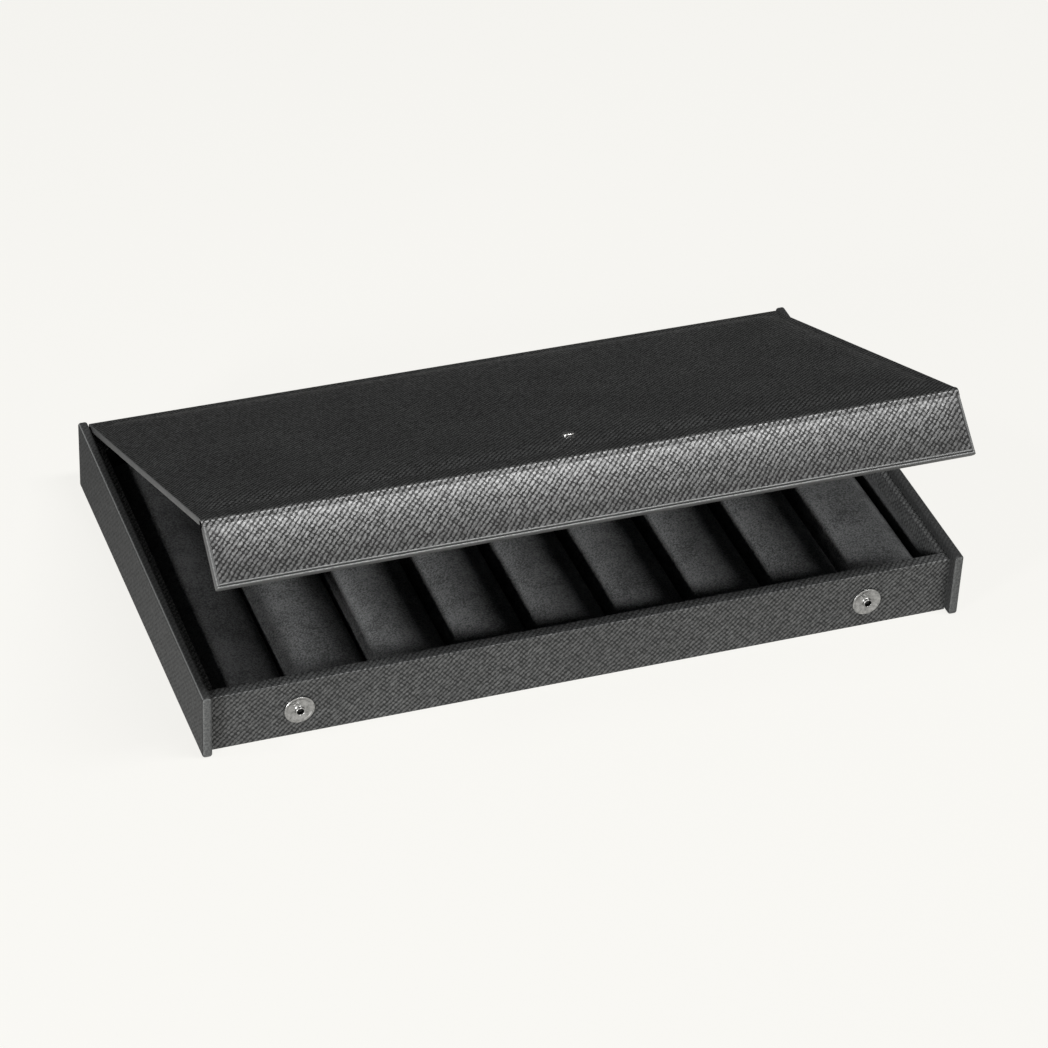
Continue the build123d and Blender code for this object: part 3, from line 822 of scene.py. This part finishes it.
def flap_flat(co, normal):
    """Place on the flat hide of a corner of the flap, which goes on from the lid's."""
    across, along = lid_flat(co, normal)
    if normal.y < -EDGE_FACING:
        along -= LEAF - co.z
    return across, along - lid_length


def flap_pressed(co):
    """How far the print is ironed out: along the creased edges, and a little near the fold."""
    if co.z < LEAF - EDGE_DEPTH or co.y - flap_tip < RIDGE_TO + 0.05:
        return 1.0
    if LEAF_HALF - abs(co.x) < 0.75:
        return 0.9
    return 0.12 * (1.0 - min(1.0, (flap_back - co.y) / 9.0))


def flap_crease_shade(co):
    """Painted shade: one at the bottom of the creased groove, where the colour is set near black.
    """
    beside = abs(co.y - flap_tip - groove_middle)
    return max(0.0, 1.0 - beside / CREASE_SHADE_HALF) if co.z > LEAF - EDGE_DEPTH else 0.0


hide_map(flap, flap_flat, flap_pressed, flap_crease_shade)
for face in flap.faces:
    edge_face = face.normal.y < -0.5 or abs(face.normal.x) > 0.5
    face.material_index = 1 if edge_face else 0
flap_skin = piece_from("flap_leather_skin", flap, flap_place, (lid_hide, edge_skin))
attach(flap_skin, "flap")
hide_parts("flap_leather")

# %% [markdown]
# ## The folds
# Between two boards the leather is bare for a few millimetres and bends round a tight curve, with
# a lining strip inside. A strip starts as one line across the case. It is drawn out flat, spun
# round the bend, drawn out flat again, and given its thickness.


# %% Fold strips
# Each fold joins two bodies, and has a sheet of leather outside and one of lining inside
BEND_STEPS, STRIP_CUTS = 12, 4
FOLDS = (
    {
        "side": "back", "nodes": "back_hinge", "bodies": ("case", "lid"), "line": hinge_line,
        "slopes": (SPINE_SLOPE, LID_SLOPE), "flat_start": -2 * FOLD_STRIP,
    },
    {
        "side": "front", "nodes": "front_fold", "bodies": ("lid", "flap"), "line": fold_line,
        "slopes": (LID_SLOPE, FLAP_SLOPE), "flat_start": lid_length - 2 * FOLD_STRIP,
    },
)
LAYERS = (
    {
        "layer": "leather", "slot": "leather", "finishes": (lid_hide, edge_skin),
        "level": LEAF, "inner_radius": 1.2, "half_width": LEAF_HALF,
    },
    {
        "layer": "lining", "slot": "suede", "finishes": (lining_suede, lining_suede),
        "level": 2.0, "inner_radius": 0.4, "half_width": 154.7,
    },
)


def fold_piece(fold, sheet):
    """A strip of leather or lining bent over a fold line. Its level is that of its outer face."""
    level, outer = sheet["level"], sheet["inner_radius"] + LEATHER
    bend = radians(fold["slopes"][0] - fold["slopes"][1])
    corner = (LEAF - LEATHER / 2 - level) * tan(bend / 2)
    start = corner + outer * tan(bend / 2)
    centre = Vector((0, start, level - outer))
    heading = Vector((0, -cos(bend), -sin(bend)))

    def flat_place(co, _):
        """Place on the flat hide, measured along the strip's outer face."""
        reach = FOLD_STRIP - co.y
        if co.y < start - 1e-4:
            turn = Vector((0, 1)).angle(Vector((co.y - centre.y, co.z - centre.z)))
            ahead = max(0.0, (co - centre).dot(heading))
            reach = FOLD_STRIP - start + min(bend, turn) * outer + ahead
        return co.x, -(fold["flat_start"] + reach)

    bm = bmesh.new()
    ends = [(side * sheet["half_width"], FOLD_STRIP, level) for side in (-1, 1)]
    edge = bm.edges.new([bm.verts.new(end) for end in ends])
    verts = draw_out(bm, [edge], Vector((0, start - FOLD_STRIP, 0)))
    turned = bmesh.ops.spin(
        bm, geom=[bm.edges.get(verts), *verts], cent=centre, axis=(1, 0, 0), angle=bend,
        steps=BEND_STEPS, use_merge=False,
    )["geom_last"]
    last = [g for g in turned if isinstance(g, bmesh.types.BMEdge)]
    draw_out(bm, last, heading * (FOLD_STRIP - start))
    bmesh.ops.recalc_face_normals(bm, faces=bm.faces)
    bm.normal_update()
    if sum(f.normal.z for f in bm.faces) < 0:
        bmesh.ops.reverse_faces(bm, faces=bm.faces)
    hide_map(bm, flat_place)
    long_edges = [e for e in bm.edges if apart(e, 0) > sheet["half_width"]]
    bmesh.ops.subdivide_edges(bm, edges=long_edges, cuts=STRIP_CUTS, use_grid_fill=True)
    bmesh.ops.solidify(bm, geom=bm.faces[:], thickness=LEATHER)
    name = f"fold_{sheet['layer']}_{fold['side']}"
    return piece_from(name, bm, leaf_place(fold["slopes"][0], fold["line"]), sheet["finishes"])


fold_pieces = [(fold_piece(fold, sheet), fold, sheet) for fold in FOLDS for sheet in LAYERS]

# %% [markdown]
# A fold strip belongs to two bodies at once. The imported fold parts are hidden, and each strip's
# place is baked into its mesh.

# %% Hide the imported folds and bake the strips
for piece, fold, sheet in fold_pieces:
    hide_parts(f"{fold['nodes']}_{sheet['layer']}")
    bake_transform(piece)

# %% [markdown]
# ## The tray
# Nine half-round ridges of foam lie side by side under one suede cover, and a pen rests in the
# channel between two of them. The cover is pulled down hard in each channel and tucked in at the
# front and the back, where the ridges' ends are rounded.

# %% Tray cover
# The tray's half width, front, back and card, and the count, rise and shape of its ridges
TRAY_HALF, TRAY_FRONT, TRAY_BACK, CARD_TOP = 153.0, -84.7, 88.1, 4.4
RIDGES, RIDGE_HEIGHT = 9, 13.65
RIDGE_POWER = 0.92
STEPS_ACROSS, STEPS_ALONG = 18, 56
# How far the rows of points crowd at both ends, and how the cover is tucked in there
CROWDING = 0.65
TUCK_LENGTH, TUCKED_HEIGHT = 9.0, 0.22
COVER_GAP = 0.1
pitch = 2 * TRAY_HALF / RIDGES


def tray_spot(across, along):
    """Place of a point of the cover, from its share of the width and of the depth."""
    ridge = min(int(across * RIDGES), RIDGES - 1)
    swing = (across * RIDGES - ridge - 0.5) * pi
    centre = -TRAY_HALF + (ridge + 0.5) * pitch

    # The rows of points lie closer together at the front and the back, where the cover curves
    share = (1 - CROWDING) * along + CROWDING * (0.5 - 0.5 * cos(pi * along))
    y = TRAY_FRONT + (TRAY_BACK - TRAY_FRONT) * share
    end = min(y - TRAY_FRONT, TRAY_BACK - y)
    tuck = sqrt(max(0.0, 1 - (1 - min(end / TUCK_LENGTH, 1.0)) ** 2))

    # No ridge is quite straight or quite full, and the suede dents a little
    fullness = 1 + 0.012 * noise.noise(Vector((ridge * 7.3, y * 0.02, 0)))
    lean = 0.35 * noise.noise(Vector((ridge * 3.1, y * 0.015, 5))) * cos(swing)
    x = centre + pitch / 2 * sin(swing) + lean
    dent = 0.16 * noise.noise(Vector((x * 0.09, y * 0.05, 2))) * cos(swing)
    height = RIDGE_HEIGHT * cos(swing) ** RIDGE_POWER * fullness
    height *= TUCKED_HEIGHT + (1 - TUCKED_HEIGHT) * tuck
    return Vector((x, y, CARD_TOP + COVER_GAP + max(0.0, height + dent)))


cover = flat_grid(RIDGES * STEPS_ACROSS, STEPS_ALONG, (0, 1), (0, 1), 0)
for vert in cover.verts:
    vert.co = tray_spot(min(max(vert.co.x, 0), 1), min(max(vert.co.y, 0), 1))
skirt = draw_out(cover, open_edges(cover, lambda m: True), Vector((0, 0, 0)))
for vert in skirt:
    vert.co.z = CARD_TOP
bmesh.ops.contextual_create(cover, geom=[e for e in cover.edges if e.is_boundary])
bmesh.ops.recalc_face_normals(cover, faces=cover.faces)
tray_cover = piece_from("tray_suede_cover", cover, materials=(tray_suede,))
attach(tray_cover, "case")
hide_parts("tray_velour", *[f"ridge_foam_{n}" for n in range(1, RIDGES + 1)])

# %% [markdown]
# ## Press studs
# Each stud is a pressed cap with a rolled rim, a shallow dish and a small waisted knob that snaps
# into the socket in the flap. It is turned like a chess piece: half its outline is drawn once and
# spun round its axis. The hollow in the knob gets a near-black finish of its own, painted shade in
# the recess. The lid's round button is turned in the same way.


# %% Studs and button
# Steps round a piece, the studs' places, the knob's hollow that is painted dark as shade, and the
# button's place
STUD_STEPS, BUTTON_STEPS = 64, 48
STUD_X, STUD_Y, STUD_Z = 120, -90.6, 12.0
SHADE_WELL_RADIUS, SHADE_WELL_FLOOR = 1.44, 0.1
BUTTON_FROM_FOLD, BUTTON_LEVEL = 26.0, 4.55


def turned_piece(name, outline, steps, places, materials, shade_radius=0.0):
    """Round pieces from a half outline of radius and height, with a dark second finish, painted
    shade, in a well.
    """
    whole = bmesh.new()
    for place in places:
        bm = bmesh.new()
        verts = [bm.verts.new((radius, 0, height)) for radius, height in outline]
        edges = [bm.edges.new(pair) for pair in zip(verts, verts[1:])]
        bmesh.ops.spin(
            bm, geom=verts + edges, cent=(0, 0, 0), axis=(0, 0, 1), angle=2 * pi, steps=steps,
            use_merge=True,
        )
        bmesh.ops.remove_doubles(bm, verts=bm.verts, dist=1e-4)
        bmesh.ops.recalc_face_normals(bm, faces=bm.faces)
        for face in bm.faces:
            x, y, z = face.calc_center_median()
            # Faces in the knob's hollow take the second finish, which is painted shade.
            face.material_index = 1 if hypot(x, y) < shade_radius and z > SHADE_WELL_FLOOR else 0
        bmesh.ops.transform(bm, matrix=place, verts=bm.verts)
        mesh = bpy.data.meshes.new("turned")
        bm.to_mesh(mesh)
        bm.free()
        whole.from_mesh(mesh)
        bpy.data.meshes.remove(mesh)
    return piece_from(name, whole, Matrix.Identity(4), materials)


STUD_OUTLINE = (
    (0, 0), (5.5, 0), (5.9, 0.1), (6.14, 0.28), (6.2, 0.46), (6.12, 0.66), (5.92, 0.78),
    (5.64, 0.8), (5.38, 0.7), (5.14, 0.5), (4.9, 0.34), (4.5, 0.24), (3.8, 0.19), (3.0, 0.17),
    (2.6, 0.2), (2.2, 0.34), (1.92, 0.6), (1.8, 0.9), (1.82, 1.2), (1.9, 1.5), (1.98, 1.72),
    (2.0, 1.88), (1.92, 2.02), (1.76, 2.08), (1.58, 2.04), (1.46, 1.9), (1.38, 1.6),
    (1.32, 1.0), (1.26, 0.4), (0.9, 0.2), (0, 0.16),
)
face_forwards = Matrix.Rotation(radians(90), 4, "X")
stud_places = [
    Matrix.Scale(MM, 4) @ Matrix.Translation((x, STUD_Y, STUD_Z)) @ face_forwards
    for x in (-STUD_X, STUD_X)
]
stud_metals = (stud_nickel, painted_shade_nickel)
studs = turned_piece(
    "press_studs", STUD_OUTLINE, STUD_STEPS, stud_places, stud_metals, SHADE_WELL_RADIUS
)
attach(studs, "case")
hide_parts("snap_studs")

BUTTON_OUTLINE = (
    (0, 0), (2.6, 0), (2.84, 0.08), (2.9, 0.3), (2.88, 0.52), (2.76, 0.68), (2.56, 0.76),
    (2.34, 0.74), (2.2, 0.66), (2.06, 0.68), (1.8, 0.84), (1.4, 1.02), (0.9, 1.15), (0.4, 1.2),
    (0, 1.2),
)
button_spot = (0, -(lid_length - BUTTON_FROM_FOLD), BUTTON_LEVEL)
button_place = lid_place @ Matrix.Translation(button_spot)
button = turned_piece(
    "round_button", BUTTON_OUTLINE, BUTTON_STEPS, [button_place], (button_nickel,)
)
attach(button, "lid")
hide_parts("lid_button")

# %% [markdown]
# ## Finishes for the rigid parts
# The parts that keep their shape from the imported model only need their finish.

# %% Dress the rigid parts
dressing = {
    case_hide: [
        "front_wall_leather", "back_wall_leather", "back_wall_capping", "left_ledge_leather",
        "right_ledge_leather",
    ],
    end_hide_shaded: ["left_end_leather", "right_end_leather"],
    lining_suede: [
        "front_lining", "back_lining", "left_lining", "right_lining", "lid_lining", "flap_lining",
    ],
    stud_nickel: ["snap_sockets", "stud_rivets"],
    base_cloth: ["base_cover"],
    grey_board: [
        "base_board", "front_wall_board", "back_wall_board", "left_end_board", "right_end_board",
        "left_ledge_board", "right_ledge_board", "tray_card", "lid_board", "flap_board",
    ],
}
for material, names in dressing.items():
    for name in names:
        nodes[name].data.materials.clear()
        nodes[name].data.materials.append(material)
dressed = {name for names in dressing.values() for name in names}
bare = [name for name, part in nodes.items() if name not in dressed and not part.hide_render]
print("dressed", len(dressed), "shown without a finish", bare)

# %% [markdown]
# ## Floor and light
# The photograph has a plain off-white ground. The camera sees the floor as pale, with a soft
# shadow, and so do the shiny parts. Behind the chest their view of it fades to a dim studio,
# because the lid mirrors what stands there and the photograph shows it dark. The sky is made in
# the same way. For the light that bounces about, the floor is a plain sheet and the sky is dim.


# %% Floor and world
PALE = (0.905, 0.896, 0.863, 1)
# The floor where it is seen, behind the chest and as a plain sheet, and the dim sky
FLOOR_SEEN, FLOOR_BEHIND = (0.08, 0.079, 0.076, 1), (0.03, 0.03, 0.03, 1)
FLOOR_SHEET = (0.4, 0.4, 0.39, 1)
SKY_DIM = (0.9, 0.95, 1.0, 1)
FLOOR_GLOW, SKY_GLOW = 0.93, 0.03
FLOOR_RADIUS = 6.0


def shown_rays(tree):
    """One for the camera's rays and those of shiny parts and glass, and one for shiny parts."""
    rays = put(tree, "ShaderNodeLightPath").outputs
    shiny = calc(tree, "MAXIMUM", rays["Is Glossy Ray"], rays["Is Transmission Ray"])
    return calc(tree, "MAXIMUM", rays["Is Camera Ray"], shiny), rays["Is Glossy Ray"]


def mixed(tree, share, first, second):
    """Two shaders mixed by a share."""
    sockets = {0: share, 1: first.outputs[0], 2: second.outputs[0]}
    return put(tree, "ShaderNodeMixShader", sockets)


def floor_finish():
    """Pale where it is seen, and a plain sheet for all other light."""
    material = bpy.data.materials.new("pale_floor")
    material.use_nodes = True
    tree = material.node_tree
    tree.nodes.clear()
    shown, glossy = shown_rays(tree)
    depth = parts_of(tree, object_place(tree))[1]
    behind = calc(tree, "MULTIPLY", span(tree, depth, -0.10, 0.30), glossy)
    glow = put(tree, "ShaderNodeEmission", {"Color": PALE, "Strength": FLOOR_GLOW})
    lit, dim, sheet = (
        put(tree, "ShaderNodeBsdfDiffuse", {"Color": colour})
        for colour in (FLOOR_SEEN, FLOOR_BEHIND, FLOOR_SHEET)
    )
    seen = put(tree, "ShaderNodeAddShader", {0: glow.outputs[0], 1: lit.outputs[0]})
    both = mixed(tree, shown, sheet, mixed(tree, behind, seen, dim))
    put(tree, "ShaderNodeOutputMaterial", {0: both.outputs[0]})
    return material


floor_mesh = bmesh.new()
bmesh.ops.create_circle(floor_mesh, cap_ends=True, segments=96, radius=FLOOR_RADIUS)
floor = piece_from("floor", floor_mesh, Matrix.Identity(4), (floor_finish(),))
floor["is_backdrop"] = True

world = bpy.data.worlds.new("studio")
bpy.context.scene.world = world
world.use_nodes = True
sky = world.node_tree
sky.nodes.clear()
sky_shown, sky_glossy = shown_rays(sky)
_, back, up = parts_of(sky, put(sky, "ShaderNodeTexCoord").outputs["Generated"])
behind = calc(sky, "MULTIPLY_ADD", up, -0.5, back)
behind = calc(sky, "MULTIPLY", span(sky, behind, -0.4, 0.5, 0.0, 0.94), sky_glossy)
dim_sky = put(sky, "ShaderNodeBackground", {"Color": SKY_DIM, "Strength": SKY_GLOW})
pale_sky = put(sky, "ShaderNodeBackground", {"Color": PALE, "Strength": 1.0})
both_skies = mixed(sky, sky_shown, dim_sky, mixed(sky, behind, pale_sky, dim_sky))
put(sky, "ShaderNodeOutputWorld", {0: both_skies.outputs[0]})
print("sky has", len(sky.nodes), "nodes")

# %% [markdown]
# ## Lamps
# A strong softbox stands low at the front left, rakes over the print and reaches in under the
# lid. A weak one above it fills in. A long one hangs overhead, where the flap mirrors it. Each has
# a direction from the chest, the direction of its long side, a distance and a size in metres, and
# a power in watts.


# %% Lamps
AIM = Vector((0, 0, 0.04))
LAMPS = (
    ("key_low_left", (-0.837, -0.501, 0.22), (-0.501, 0.837, 0), 1.64, (0.3, 0.2), 23.0),
    ("key_high_left", (-0.77, 0.02, 0.64), (0, 1, 0), 1.6, (0.3, 0.2), 6.0),
    ("sheen_overhead", (0.26, -0.24, 0.94), (1, 0, 0), 1.4, (0.8, 0.2), 19.0),
)


def softbox(name, direction, long_side, distance, size, power):
    """A rectangular lamp in a direction from the chest, turned towards it."""
    lamp = bpy.data.lights.new(name, "AREA")
    lamp.shape = "RECTANGLE"
    lamp.size, lamp.size_y = size
    lamp.energy = power
    holder = bpy.data.objects.new(name, lamp)
    towards = Vector(direction).normalized()
    holder.location = towards * distance + AIM
    side = Vector(long_side)
    side = (side - towards * side.dot(towards)).normalized()
    holder.rotation_euler = Matrix((side, towards.cross(side), towards)).transposed().to_euler()
    bpy.context.scene.collection.objects.link(holder)


for lamp_facts in LAMPS:
    softbox(*lamp_facts)
print("lamps and watts", {lamp_facts[0]: lamp_facts[-1] for lamp_facts in LAMPS})

# %% [markdown]
# ## Check the sizes
# The dressed model's bounds are compared with the imported model's, and how far they grew is
# printed.

# %% Sizes and finish
low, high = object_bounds()
below, above = cad_low - low, high - cad_high
print("grew mm", [round(v / MM, 2) for v in below], [round(v / MM, 2) for v in above])
